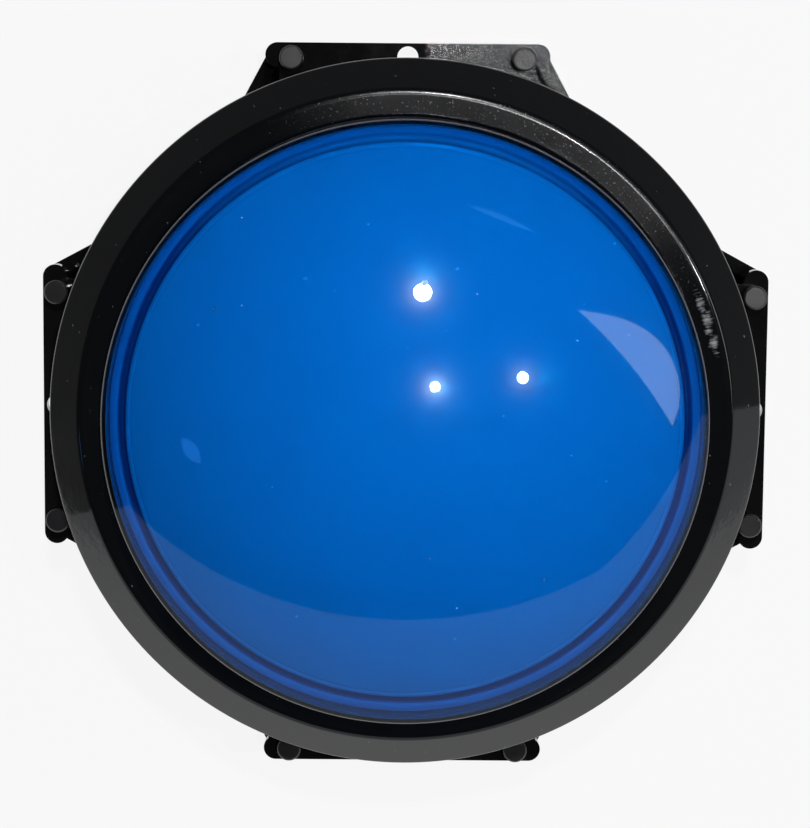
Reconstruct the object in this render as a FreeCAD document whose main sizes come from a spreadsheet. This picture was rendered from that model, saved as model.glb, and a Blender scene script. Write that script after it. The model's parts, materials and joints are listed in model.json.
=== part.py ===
import FreeCAD, Part
import math
import operator
import os
import types
import Sketcher

# Driving sizes in millimetres and degrees.
# Z = 0 is the flange's front face, where the panel lies, and +Z points at the player.
DRIVING = {
    # Bezel ring and the barrel through the panel
    "bezel_radius": 100.0,
    "bezel_edge": 2.4,
    "slope_run": 9.2,
    "slope_radius": 200.0,
    "slope_angle": 42.5,
    "lip_run": 6.9,
    "lip_drop": 0.6,
    "lip_thick": 3.7,
    "panel_room": 18.0,
    "panel_overlap": 8.0,
    "barrel_wall": 3.3,
    "seat_ring_width": 9.7,
    # Flange behind the panel, with its ears, pegs and panel holes
    "flange_overhang": 4.4,
    "flange_thick": 4.0,
    "ear_margin": 7.6,
    "ear_width": 7.0,
    "neck_margin": 3.5,
    "peg_inset": 4.4,
    "peg_offset": 33.0,
    "peg_radius": 3.45,
    "peg_height": 6.0,
    "peg_chamfer": 0.5,
    "hole_inset": 3.9,
    "hole_radius": 3.0,
    # Tub wall and screw posts below the flange
    "opening_step": 3.0,
    "tub_inset": 1.0,
    "tub_wall": 4.0,
    "tub_depth": 10.0,
    "post_radius": 3.0,
    # Rear cover with slanted lobes
    "cover_depth": 12.0,
    "cover_floor": 3.0,
    "cover_wall": 3.0,
    "lobe_inset": 0.9,
    "lobe_tuck": 1.0,
    "lobe_slant": 13.7,
    "lobe_root_inset": 14.0,
    "wire_slot_length": 24.0,
    "wire_slot_width": 10.0,
    "wire_slot_inset": 23.0,
    "access_radius": 4.5,
    # Press travel, its end stops and running gaps
    "travel": 6.0,
    "rest_gap": 0.3,
    "stop_gap": 0.3,
    "bump_height": 2.7,
    "bump_radius": 3.0,
    "bump_inset": 5.0,
    # Dome lens and the diffuser below it
    "dome_gap": 0.65,
    "lens_wall": 1.8,
    "skirt_height": 21.0,
    "shoulder_radius": 3.0,
    "cap_radius": 148.0,
    "lens_gap": 0.05,
    "diffuser_inset": 6.25,
    "diffuser_wall": 2.0,
    "diffuser_gap": 8.0,
    "diffuser_base_width": 9.0,
    "diffuser_base_thick": 6.0,
    "ledge_drop": 2.7,
    "ledge_thick": 2.0,
    "ledge_gap": 0.3,
    # Plunger frame
    "frame_width": 22.0,
    "frame_gap": 0.7,
    "frame_thick": 5.0,
    "frame_rim": 2.3,
    "seal_thick": 1.0,
    "lug_radius": 9.5,
    # Guide pins, bushes, sleeves and return springs
    "guide_inset": 4.0,
    "pin_radius": 4.0,
    "pin_fit": 0.02,
    "pin_running_gap": 0.05,
    "pin_floor_gap": 3.0,
    "bush_wall": 1.0,
    "sleeve_wall": 1.2,
    "sleeve_height": 21.0,
    "spring_radius": 8.0,
    "wire_radius": 0.7,
    # Light board
    "board_room": 16.0,
    "board_thick": 1.6,
    "standoff_height": 13.4,
    "standoff_radius": 3.5,
    "standoff_inset": 6.0,
    "led_side": 5.0,
    "led_height": 1.6,
    "led_inset": 16.0,
    "led_ring_inner": 14.0,
    "resistor_length": 3.2,
    "resistor_width": 1.6,
    "resistor_height": 0.6,
    "resistor_reach": 22.0,
    "connector_length": 12.0,
    "connector_width": 7.0,
    "connector_height": 8.0,
    "connector_wall": 1.0,
    "connector_inset": 6.0,
    # Lever microswitch
    "switch_inset": 6.0,
    "switch_length": 27.8,
    "switch_width": 10.3,
    "switch_height": 15.9,
    "switch_raise": 4.0,
    "switch_hole_span": 22.2,
    "switch_hole_height": 3.0,
    "switch_mount_thick": 3.0,
    "switch_mount_margin": 4.0,
    "hinge_inset": 2.9,
    "hinge_rise": 2.1,
    "hinge_ear_thick": 1.5,
    "hinge_ear_gap": 0.3,
    "lever_pin_radius": 0.6,
    "lever_eye_wall": 0.65,
    "lever_length": 24.0,
    "lever_width": 4.0,
    "lever_thick": 0.6,
    "lever_angle": 14.0,
    "lever_gap": 0.35,
    "presser_arm": 20.0,
    "presser_radius": 2.5,
    "presser_web": 8.0,
    "button_arm": 5.0,
    "button_radius": 1.5,
    "button_gap": 0.25,
    "button_depth": 5.0,
    "button_fit": 0.1,
    "terminal_length": 6.5,
    "terminal_width": 4.8,
    "terminal_thick": 0.8,
    # Screws
    "screw_radius": 1.45,
    "screw_head_radius": 2.8,
    "screw_head_height": 2.0,
    "screw_play": 0.15,
    "thread_fit": 0.05,
    "bezel_screw_inset": 3.0,
    "diffuser_screw_inset": 5.0,
    "thread_roof": 1.0,
    "cover_screw_radius": 1.2,
    "cover_head_radius": 2.2,
    "cover_head_height": 2.0,
    "cover_head_recess": 0.3,
    "cover_thread": 7.0,
}

# How many copies each pattern has
SIDES = 4
BEZEL_SCREWS = 8
DIFFUSER_SCREWS = 6
BUMPS = 8
OUTER_LEDS = 8
INNER_LEDS = 4
RESISTORS = 4
TERMINALS = 3
HALF_TURNS = 14

OPERATIONS = {"+": operator.add, "-": operator.sub, "*": operator.mul, "/": operator.truediv}


class Size:
    """A value together with the sheet formula that it comes from."""

    def __init__(self, value, formula):
        self.value = value
        self.formula = formula

    def __add__(self, other):
        return combine(self, "+", other)

    def __radd__(self, other):
        return combine(other, "+", self)

    def __sub__(self, other):
        return combine(self, "-", other)

    def __rsub__(self, other):
        return combine(other, "-", self)

    def __mul__(self, other):
        return combine(self, "*", other)

    def __rmul__(self, other):
        return combine(other, "*", self)

    def __truediv__(self, other):
        return combine(self, "/", other)

    def __neg__(self):
        return combine(0, "-", self)


def as_size(number):
    """Take a plain number as a size with itself as formula."""
    if isinstance(number, Size):
        return number
    return Size(float(number), f"({float(number)!r})")


def combine(left, sign, right):
    """Work out a value and write the same step into its formula."""
    left = as_size(left)
    right = as_size(right)
    value = OPERATIONS[sign](left.value, right.value)
    return Size(value, f"({left.formula} {sign} {right.formula})")


def root(area):
    """Square root of a size."""
    return Size(math.sqrt(area.value), f"sqrt({area.formula})")


def sine(angle):
    """Sine of an angle in degrees."""
    return Size(math.sin(math.radians(angle.value)), f"sin({angle.formula})")


def cosine(angle):
    """Cosine of an angle in degrees."""
    return Size(math.cos(math.radians(angle.value)), f"cos({angle.formula})")


def arctangent(slope):
    """Angle in degrees of a slope."""
    return Size(math.degrees(math.atan(slope.value)), f"atan({slope.formula})")


doc = FreeCAD.newDocument("arcade_button")
sheet = doc.addObject("Spreadsheet::Sheet", "sizes")
for row, (name, value) in enumerate(DRIVING.items(), start=1):
    sheet.set(f"A{row}", name)
    sheet.set(f"B{row}", str(value))
    sheet.setAlias(f"B{row}", name)
doc.recompute()
s = types.SimpleNamespace(**{name: Size(value, f"sizes.{name}") for name, value in DRIVING.items()})

UPRIGHT = FreeCAD.Rotation()
ALONG_X = FreeCAD.Rotation(FreeCAD.Vector(0, 1, 0), 90)
ALONG_Y = FreeCAD.Rotation(FreeCAD.Vector(1, 0, 0), -90)
subparts = []


def bind(item, path, value):
    """Tie one property of an object to the sheet."""
    item.setExpression(path, as_size(value).formula)


def place(item, x, y, z):
    """Tie an object's place to the sheet."""
    for axis, value in zip("xyz", (x, y, z)):
        bind(item, f"Placement.Base.{axis}", value)


def cylinder(radius, height, x=0, y=0, z=0, turn=UPRIGHT):
    """A round bar from its first end, along Z unless turned."""
    item = doc.addObject("Part::Cylinder", "bar")
    item.Placement = FreeCAD.Placement(FreeCAD.Vector(), turn)
    bind(item, "Radius", radius)
    bind(item, "Height", height)
    place(item, x, y, z)
    return item


def cone(low_radius, high_radius, height, x, y, z):
    """A tapered round bar."""
    item = doc.addObject("Part::Cone", "taper")
    bind(item, "Radius1", low_radius)
    bind(item, "Radius2", high_radius)
    bind(item, "Height", height)
    place(item, x, y, z)
    return item


def box(length, width, height, x, y, z):
    """A block centred on x and y, standing on z."""
    item = doc.addObject("Part::Box", "block")
    bind(item, "Length", length)
    bind(item, "Width", width)
    bind(item, "Height", height)
    place(item, x - length / 2, y - width / 2, z)
    return item


def fuse(name, items):
    """Several solids as one."""
    item = doc.addObject("Part::MultiFuse", name)
    item.Shapes = items
    item.Refine = True
    return item


def cut(name, base, tools):
    """A solid less all its tools."""
    item = doc.addObject("Part::Cut", name)
    item.Base = base
    item.Tool = group(f"{name}_tools", tools)
    item.Refine = True
    return item


def group(name, items):
    """Separate solids kept together."""
    item = doc.addObject("Part::Compound", name)
    item.Links = items
    return item


def node(label, item):
    """Name a finished sub-part."""
    item.Label = label
    subparts.append(item)


def corner(x, y):
    """An outline point reached by a straight line."""
    return (as_size(x), as_size(y), None, "xy")


def arc_to(x, y, centre_x, centre_y, held):
    """An outline point reached by an arc; held is the one coordinate that is tied to the sheet."""
    return (as_size(x), as_size(y), (as_size(centre_x), as_size(centre_y)), held)


def draw_stretch(sketch, start, end):
    """Draw one line or arc and return its number and the ends that match start and end."""
    first = FreeCAD.Vector(start[0].value, start[1].value, 0)
    last = FreeCAD.Vector(end[0].value, end[1].value, 0)
    if end[2] is None:
        return sketch.addGeometry(Part.LineSegment(first, last)), 1, 2
    centre = FreeCAD.Vector(end[2][0].value, end[2][1].value, 0)
    circle = Part.Circle(centre, FreeCAD.Vector(0, 0, 1), first.distanceToPoint(centre))
    from_angle = math.atan2(first.y - centre.y, first.x - centre.x)
    to_angle = math.atan2(last.y - centre.y, last.x - centre.x)
    turn = math.remainder(to_angle - from_angle, 2 * math.pi)
    low, high = (from_angle, to_angle) if turn > 0 else (to_angle, from_angle)
    arc = sketch.addGeometry(Part.ArcOfCircle(circle, low, high))
    return (arc, 1, 2) if turn > 0 else (arc, 2, 1)


def hold(sketch, stretch, end, kind, size):
    """Tie one coordinate of a point to the sheet."""
    number = sketch.addConstraint(Sketcher.Constraint(kind, -1, 1, stretch, end, size.value))
    bind(sketch, f"Constraints[{number}]", size)


def outline(sketch, corners):
    """Draw a closed outline through its corners and tie every corner and arc centre to the sheet."""
    count = len(corners)
    stretches = [draw_stretch(sketch, corners[i], corners[(i + 1) % count]) for i in range(count)]
    for i, (stretch, _, last) in enumerate(stretches):
        after, after_first, _ = stretches[(i + 1) % count]
        end = corners[(i + 1) % count]
        sketch.addConstraint(Sketcher.Constraint("Coincident", stretch, last, after, after_first))
        if "x" in end[3]:
            hold(sketch, stretch, last, "DistanceX", end[0])
        if "y" in end[3]:
            hold(sketch, stretch, last, "DistanceY", end[1])
        if end[2] is not None:
            hold(sketch, stretch, 3, "DistanceX", end[2][0])
            hold(sketch, stretch, 3, "DistanceY", end[2][1])


def sketch_on(body, role, corners):
    """A closed outline on one of the body's own planes."""
    plane = [item for item in body.Origin.OriginFeatures if item.Role == role][0]
    sketch = body.newObject("Sketcher::SketchObject", f"{body.Name}_outline")
    sketch.AttachmentSupport = [(plane, "")]
    sketch.MapMode = "FlatFace"
    outline(sketch, corners)
    return sketch


def turned(name, corners):
    """A body of revolution about Z from a half section of radius and height."""
    body = doc.addObject("PartDesign::Body", name)
    sketch = sketch_on(body, "XZ_Plane", corners)
    revolution = body.newObject("PartDesign::Revolution", f"{name}_turn")
    revolution.Profile = sketch
    revolution.ReferenceAxis = (sketch, ["V_Axis"])
    revolution.Angle = 360
    return body


def prism(name, corners, z, height):
    """A straight body standing on z with the outline as its plan."""
    body = doc.addObject("PartDesign::Body", name)
    sketch = sketch_on(body, "XY_Plane", corners)
    pad = body.newObject("PartDesign::Pad", f"{name}_pad")
    pad.Profile = sketch
    bind(pad, "Length", height)
    bind(body, "Placement.Base.z", z)
    return body


def around(count, first_degrees=0.0):
    """Directions spread evenly round the axis, as cosine and sine."""
    angles = [math.radians(first_degrees + 360.0 * i / count) for i in range(count)]
    return [(math.cos(angle), math.sin(angle)) for angle in angles]


def each_side(reach, offset):
    """Plan positions at one reach and offset on each of the four sides."""
    spots = []
    for cos_side, sin_side in [(1, 0), (0, 1), (-1, 0), (0, -1)]:
        spots.append((reach * cos_side - offset * sin_side, reach * sin_side + offset * cos_side))
    return spots


def ring_spots(reach, directions):
    """Plan positions at one reach in each direction."""
    return [(reach * cos_way, reach * sin_way) for cos_way, sin_way in directions]


def screw_up(x, y, z, radius, length, head_radius, head_height):
    """A screw driven upwards, with its head below z and its shank above."""
    head = cylinder(head_radius, head_height, x, y, z - head_height)
    return fuse("screw", [head, cylinder(radius, length, x, y, z)])


# Heights that follow from the driving sizes
flange_back = -s.flange_thick
cover_top = flange_back - s.tub_depth
cover_back = cover_top - s.cover_depth
floor_top = cover_back + s.cover_floor
edge_top = s.panel_room + s.bezel_edge
ridge_radius = s.bezel_radius - s.slope_run
slope_centre_reach = s.bezel_radius - s.slope_radius * sine(s.slope_angle)
slope_centre_height = edge_top - s.slope_radius * cosine(s.slope_angle)
ridge_run = ridge_radius - slope_centre_reach
ridge_top = slope_centre_height + root(s.slope_radius * s.slope_radius - ridge_run * ridge_run)
lip_top = ridge_top - s.lip_drop
pocket_top = lip_top - s.lip_thick
seal_top = pocket_top - s.rest_gap
rim_top = seal_top - s.seal_thick
frame_top = rim_top - s.frame_rim
frame_bottom = frame_top - s.frame_thick
seat_ring_top = frame_bottom - s.travel - s.stop_gap - s.bump_height

# Radii and reaches, each stepped in or out from its neighbour
lip_radius = ridge_radius - s.lip_run
barrel_radius = s.bezel_radius - s.panel_overlap
barrel_inner = barrel_radius - s.barrel_wall
seat_ring_radius = barrel_inner - s.seat_ring_width
flange_opening = seat_ring_radius - s.opening_step
tub_radius = barrel_radius - s.tub_inset
chamber_radius = tub_radius - s.tub_wall
flange_half = s.bezel_radius + s.flange_overhang
peg_reach = flange_half - s.peg_inset
hole_reach = flange_half - s.hole_inset
ear_half = s.peg_offset + s.ear_margin
neck_half = s.peg_offset + s.neck_margin
lens_radius = lip_radius - s.dome_gap
diffuser_radius = lens_radius - s.diffuser_inset
frame_radius = barrel_inner - s.frame_gap
frame_inner = frame_radius - s.frame_width
guide_reach = frame_inner - s.guide_inset
board_radius = guide_reach - s.board_room
screw_hole = s.screw_radius + s.screw_play
thread_hole = s.screw_radius + s.thread_fit
peg_spots = each_side(peg_reach, s.peg_offset) + each_side(peg_reach, -s.peg_offset)
bezel_screw_spots = ring_spots(seat_ring_radius + s.bezel_screw_inset, around(BEZEL_SCREWS))
diffuser_screw_spots = ring_spots(diffuser_radius - s.diffuser_screw_inset, around(DIFFUSER_SCREWS))
guide_spots = ring_spots(guide_reach, around(SIDES, 45.0))
standoff_spots = ring_spots(board_radius - s.standoff_inset, around(SIDES, 45.0))


def make_bezel_ring():
    """Two-slope bezel, barrel through the panel and inner seat ring in one moulding."""
    body = turned(
        "bezel_body",
        [
            corner(seat_ring_radius, 0),
            corner(barrel_radius, 0),
            corner(barrel_radius, s.panel_room),
            corner(s.bezel_radius, s.panel_room),
            corner(s.bezel_radius, edge_top),
            arc_to(ridge_radius, ridge_top, slope_centre_reach, slope_centre_height, "x"),
            corner(lip_radius, lip_top),
            corner(lip_radius, pocket_top),
            corner(barrel_inner, pocket_top),
            corner(barrel_inner, seat_ring_top),
            corner(seat_ring_radius, seat_ring_top),
        ],
    )
    depth = seat_ring_top - s.thread_roof
    holes = [cylinder(thread_hole, depth, x, y) for x, y in bezel_screw_spots]
    node("bezel_ring", cut("bezel", body, holes))


def make_flange_housing():
    """Flange plate with ears and pegs, tub wall and screw posts."""
    end_radius = s.ear_width / 2
    bar_reach = flange_half - end_radius
    bar_half = ear_half - end_radius
    neck_length = bar_reach - flange_opening
    neck_reach = flange_opening + neck_length / 2
    solids = [cylinder(barrel_radius, s.flange_thick, z=flange_back)]
    solids.append(cylinder(tub_radius, s.tub_depth, z=cover_top))
    for side, (x, y) in enumerate(each_side(bar_reach, 0)):
        neck_x, neck_y = each_side(neck_reach, 0)[side]
        if side % 2 == 0:
            solids.append(box(s.ear_width, bar_half * 2, s.flange_thick, x, y, flange_back))
            solids.append(box(neck_length, neck_half * 2, s.flange_thick, neck_x, neck_y, flange_back))
        else:
            solids.append(box(bar_half * 2, s.ear_width, s.flange_thick, x, y, flange_back))
            solids.append(box(neck_half * 2, neck_length, s.flange_thick, neck_x, neck_y, flange_back))
    for x, y in each_side(bar_reach, bar_half) + each_side(bar_reach, -bar_half):
        solids.append(cylinder(end_radius, s.flange_thick, x, y, flange_back))
    straight = s.peg_height - s.peg_chamfer
    for x, y in peg_spots:
        solids.append(cylinder(s.peg_radius, straight, x, y))
        solids.append(cone(s.peg_radius, s.peg_radius - s.peg_chamfer, s.peg_chamfer, x, y, straight))
        solids.append(cylinder(s.post_radius, s.tub_depth, x, y, cover_top))
    holes = [cylinder(flange_opening, s.flange_thick, z=flange_back)]
    holes.append(cylinder(chamber_radius, s.tub_depth, z=cover_top))
    for x, y in each_side(hole_reach, 0):
        holes.append(cylinder(s.hole_radius, s.flange_thick, x, y, flange_back))
    for x, y in peg_spots:
        holes.append(cylinder(s.cover_screw_radius + s.thread_fit, s.cover_thread, x, y, cover_top))
    for x, y in bezel_screw_spots:
        holes.append(cylinder(screw_hole, s.flange_thick, x, y, flange_back))
    node("flange_housing", cut("flange", fuse("flange_solid", solids), holes))


def lobe_outline(reach, half, root_reach, root_half):
    """Plan of four slanted lobes joined by straight diagonals."""
    corners = []
    for side in range(SIDES):
        edge = [(root_reach, -root_half), (reach, -half), (reach, half), (root_reach, root_half)]
        for along, across in edge:
            corners.append(corner(*each_side(along, across)[side]))
    return corners


def cover_plan(inset):
    """Outline of the rear cover, moved in by an inset."""
    reach = flange_half - s.lobe_inset - inset
    half = ear_half - s.lobe_tuck - inset
    root_reach = barrel_radius - s.lobe_root_inset - inset
    return lobe_outline(reach, half, root_reach, half + s.lobe_slant)


def make_rear_cover():
    """Back plate with slanted lobes, wire slot, screw seats and screwdriver notches."""
    plate = prism("cover_plate", cover_plan(0), cover_back, s.cover_floor)
    slot_y = chamber_radius - s.wire_slot_inset
    holes = [box(s.wire_slot_length, s.wire_slot_width, s.cover_floor, 0, slot_y, cover_back)]
    for x, y in each_side(hole_reach, 0):
        holes.append(cylinder(s.access_radius, s.cover_floor, x, y, cover_back))
    counterbore = s.cover_head_height + s.cover_head_recess
    for x, y in peg_spots:
        holes.append(cylinder(s.cover_screw_radius + s.screw_play, s.cover_floor, x, y, cover_back))
        holes.append(cylinder(s.cover_head_radius + s.screw_play, counterbore, x, y, cover_back))
    node("rear_cover", cut("cover", plate, holes))


def make_cover_frame():
    """Walls between back plate and flange: lobed outer wall, round chamber wall and screw columns."""
    rise = s.cover_depth - s.cover_floor
    shell = prism("cover_shell", cover_plan(0), floor_top, rise)
    pockets = prism("cover_pockets", cover_plan(s.cover_wall), floor_top, rise)
    tub = cylinder(tub_radius, rise, z=floor_top)
    chamber = cylinder(chamber_radius, rise, z=floor_top)
    solids = [cut("outer_wall", shell, [pockets]), cut("chamber_wall", tub, [chamber])]
    for x, y in peg_spots:
        solids.append(cylinder(s.post_radius, rise, x, y, floor_top))
    holes = []
    for x, y in each_side(hole_reach, 0):
        holes.append(cylinder(s.access_radius, rise, x, y, floor_top))
    for x, y in peg_spots:
        holes.append(cylinder(s.cover_screw_radius + s.screw_play, rise, x, y, floor_top))
    node("cover_frame", cut("cover_walls", fuse("cover_wall_set", solids), holes))


def make_cover_mounts():
    """Guide sleeves, board standoffs and the switch mount that stand on the back plate."""
    bore = s.pin_radius + s.pin_running_gap + s.bush_wall + s.pin_fit
    mounts = []
    for x, y in guide_spots:
        sleeve = cylinder(bore + s.sleeve_wall, s.sleeve_height, x, y, floor_top)
        mounts.append(cut("sleeve", sleeve, [cylinder(bore, s.sleeve_height, x, y, floor_top)]))
    for x, y in standoff_spots:
        standoff = cylinder(s.standoff_radius, s.standoff_height, x, y, floor_top)
        mounts.append(cut("standoff", standoff, [cylinder(thread_hole, s.standoff_height, x, y, floor_top)]))
    mount_y = switch_y - s.switch_width / 2 - s.switch_mount_thick / 2
    mount_length = s.switch_length + s.switch_mount_margin * 2
    mount_height = s.switch_raise + s.switch_height
    wall = box(mount_length, s.switch_mount_thick, mount_height, 0, mount_y, floor_top)
    back = mount_y - s.switch_mount_thick / 2
    holes = []
    for x in (-s.switch_hole_span / 2, s.switch_hole_span / 2):
        holes.append(cylinder(thread_hole, s.switch_mount_thick, x, back, switch_hole_z, ALONG_Y))
    mounts.append(cut("switch_mount", wall, holes))
    node("cover_mounts", group("mount_set", mounts))


def make_bump_stops():
    """Rubber pads on the seat ring that end the press softly."""
    spots = ring_spots(seat_ring_radius + s.bump_inset, around(BUMPS, 180.0 / BUMPS))
    pads = [cylinder(s.bump_radius, s.bump_height, x, y, seat_ring_top) for x, y in spots]
    node("bump_stops", group("bumps", pads))


def make_cover_screws():
    """Screws up through the rear cover into the posts."""
    seat = cover_back + s.cover_head_recess + s.cover_head_height
    length = cover_top + s.cover_thread - s.thread_roof - seat
    screws = []
    for x, y in peg_spots:
        screws.append(
            screw_up(x, y, seat, s.cover_screw_radius, length, s.cover_head_radius, s.cover_head_height)
        )
    node("cover_screws", group("cover_screw_set", screws))


def make_bezel_screws():
    """Screws up through the flange into the bezel's seat ring."""
    length = s.flange_thick + seat_ring_top - s.thread_roof * 2
    screws = []
    for x, y in bezel_screw_spots:
        screws.append(
            screw_up(x, y, flange_back, s.screw_radius, length, s.screw_head_radius, s.screw_head_height)
        )
    node("bezel_screws", group("bezel_screw_set", screws))


# Centre of the dome's cap, so that cap and shoulder meet in line
shoulder_height = frame_top + s.skirt_height
shoulder_reach = lens_radius - s.shoulder_radius
cap_to_shoulder = s.cap_radius - s.shoulder_radius
cap_rise = root(cap_to_shoulder * cap_to_shoulder - shoulder_reach * shoulder_reach)
cap_centre = shoulder_height - cap_rise


def make_dome_lens():
    """Clear dome: spherical cap, round shoulder and straight skirt of one wall."""
    inner_cap = s.cap_radius - s.lens_wall
    inner_radius = lens_radius - s.lens_wall
    across = shoulder_reach / cap_to_shoulder
    upward = cap_rise / cap_to_shoulder
    body = turned(
        "lens_body",
        [
            corner(0, cap_centre + s.cap_radius),
            arc_to(s.cap_radius * across, cap_centre + s.cap_radius * upward, 0, cap_centre, "x"),
            arc_to(lens_radius, shoulder_height, shoulder_reach, shoulder_height, "y"),
            corner(lens_radius, frame_top),
            corner(inner_radius, frame_top),
            corner(inner_radius, shoulder_height),
            arc_to(inner_cap * across, cap_centre + inner_cap * upward, shoulder_reach, shoulder_height, "x"),
            arc_to(0, cap_centre + inner_cap, 0, cap_centre, "x"),
        ],
    )
    node("dome_lens", body)


def make_seal_ring():
    """Rubber ring on the frame's rim that meets the bezel's pocket softly and keeps dust out."""
    body = turned(
        "seal_body",
        [
            corner(lens_radius + s.lens_gap, rim_top),
            corner(frame_radius, rim_top),
            corner(frame_radius, seal_top),
            corner(lens_radius + s.lens_gap, seal_top),
        ],
    )
    node("seal_ring", body)


def make_diffuser():
    """Pale inner dome with a ledge that centres it in the lens and a base ring that screws to the frame."""
    dome = s.cap_radius - s.lens_wall - s.diffuser_gap
    inner_dome = dome - s.diffuser_wall
    inner_radius = diffuser_radius - s.diffuser_wall
    edge = cap_centre + root(dome * dome - diffuser_radius * diffuser_radius)
    inner_edge = cap_centre + root(inner_dome * inner_dome - inner_radius * inner_radius)
    ledge_top = edge - s.ledge_drop
    ledge_bottom = ledge_top - s.ledge_thick
    ledge_radius = lens_radius - s.lens_wall - s.ledge_gap
    base_top = frame_top + s.diffuser_base_thick
    base_inner = diffuser_radius - s.diffuser_base_width
    body = turned(
        "diffuser_body",
        [
            corner(0, cap_centre + dome),
            arc_to(diffuser_radius, edge, 0, cap_centre, "x"),
            corner(diffuser_radius, ledge_top),
            corner(ledge_radius, ledge_top),
            corner(ledge_radius, ledge_bottom),
            corner(diffuser_radius, ledge_bottom),
            corner(diffuser_radius, frame_top),
            corner(base_inner, frame_top),
            corner(base_inner, base_top),
            corner(inner_radius, base_top),
            corner(inner_radius, inner_edge),
            arc_to(0, cap_centre + inner_dome, 0, cap_centre, "x"),
        ],
    )
    depth = s.diffuser_base_thick - s.thread_roof
    holes = [cylinder(thread_hole, depth, x, y, frame_top) for x, y in diffuser_screw_spots]
    node("diffuser", cut("diffuser_shell", body, holes))


def make_diffuser_screws():
    """Screws up through the frame into the diffuser's base ring."""
    length = s.frame_thick + s.diffuser_base_thick - s.thread_roof * 2
    screws = []
    for x, y in diffuser_screw_spots:
        screws.append(
            screw_up(x, y, frame_bottom, s.screw_radius, length, s.screw_head_radius, s.screw_head_height)
        )
    node("diffuser_screws", group("diffuser_screw_set", screws))


# Lever microswitch: its hinge lies at the left end and the lever rises to the right
switch_y = s.switch_inset - frame_inner
switch_base = floor_top + s.switch_raise
switch_top = switch_base + s.switch_height
switch_hole_z = switch_base + s.switch_hole_height
hinge_x = -s.switch_length / 2 + s.hinge_inset
hinge_z = switch_top + s.hinge_rise
presser_x = hinge_x + s.presser_arm
presser_clear = s.presser_radius + s.lever_thick / 2 + s.lever_gap
presser_rise = (presser_clear + s.presser_arm * sine(s.lever_angle)) / cosine(s.lever_angle)
presser_ball = hinge_z + presser_rise
button_x = hinge_x + s.button_arm
button_edge = s.button_arm - s.button_radius
button_drop = s.lever_thick / 2 / cosine(s.lever_angle) + s.button_gap
button_top = hinge_z + button_edge * sine(s.lever_angle) / cosine(s.lever_angle) - button_drop
lever_eye = s.lever_pin_radius + s.pin_running_gap


def make_plunger_frame():
    """Moving ring with the lens seat, four pin lugs and the switch presser."""
    body = turned(
        "frame_body",
        [
            corner(frame_inner, frame_bottom),
            corner(frame_radius, frame_bottom),
            corner(frame_radius, rim_top),
            corner(lens_radius + s.lens_gap, rim_top),
            corner(lens_radius + s.lens_gap, frame_top),
            corner(frame_inner, frame_top),
        ],
    )
    solids = [body]
    for x, y in guide_spots:
        solids.append(cylinder(s.lug_radius, s.frame_thick, x, y, frame_bottom))
    web_length = s.presser_web + s.switch_inset
    web_y = -frame_inner - s.presser_web / 2 + web_length / 2
    web_span = web_length + s.presser_web
    solids.append(box(s.presser_web, web_span, s.frame_thick, presser_x, web_y, frame_bottom))
    solids.append(cylinder(s.presser_radius, frame_bottom - presser_ball, presser_x, switch_y, presser_ball))
    ball = doc.addObject("Part::Sphere", "presser_ball")
    bind(ball, "Radius", s.presser_radius)
    place(ball, presser_x, switch_y, presser_ball)
    solids.append(ball)
    holes = [cylinder(s.pin_radius + s.pin_fit, s.frame_thick, x, y, frame_bottom) for x, y in guide_spots]
    for x, y in diffuser_screw_spots:
        holes.append(cylinder(screw_hole, s.frame_thick, x, y, frame_bottom))
    node("plunger_frame", cut("frame_moulding", fuse("frame_solid", solids), holes))


def make_guides():
    """Steel pins in the frame, and bushes in the cover's sleeves that they slide in."""
    pin_low = floor_top + s.travel + s.pin_floor_gap
    pins = [cylinder(s.pin_radius, frame_top - pin_low, x, y, pin_low) for x, y in guide_spots]
    node("guide_pins", group("pins", pins))
    bore = s.pin_radius + s.pin_running_gap
    bushes = []
    for x, y in guide_spots:
        outer = cylinder(bore + s.bush_wall, s.sleeve_height, x, y, floor_top)
        bushes.append(cut("bush", outer, [cylinder(bore, s.sleeve_height, x, y, floor_top)]))
    node("guide_bushes", group("bushes", bushes))


def make_return_springs():
    """Coil springs round the sleeves, in half turns that rise from the cover's floor to the frame's lugs."""
    rise = (frame_bottom - floor_top - s.wire_radius * 2) / HALF_TURNS
    tilt = arctangent(rise / (s.spring_radius * 2))
    half_turn = doc.addObject("Part::Torus", "half_turn")
    half_turn.Placement = FreeCAD.Placement(FreeCAD.Vector(), FreeCAD.Rotation(FreeCAD.Vector(0, 1, 0), 1.0))
    half_turn.Angle3 = 180
    bind(half_turn, "Radius1", s.spring_radius / cosine(tilt))
    bind(half_turn, "Radius2", s.wire_radius)
    bind(half_turn, "Placement.Rotation.Angle", tilt)
    for number, (x, y) in enumerate(guide_spots, start=1):
        turns = []
        for i in range(HALF_TURNS):
            turn = group("turn", [half_turn])
            side = FreeCAD.Rotation(FreeCAD.Vector(0, 0, 1), 180.0 * (i % 2))
            turn.Placement = FreeCAD.Placement(FreeCAD.Vector(), side)
            place(turn, x, y, floor_top + s.wire_radius + rise * (i + 0.5))
            turns.append(turn)
        node(f"return_spring_{number}", fuse("coil", turns))


board_low = floor_top + s.standoff_height
board_top = board_low + s.board_thick


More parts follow.
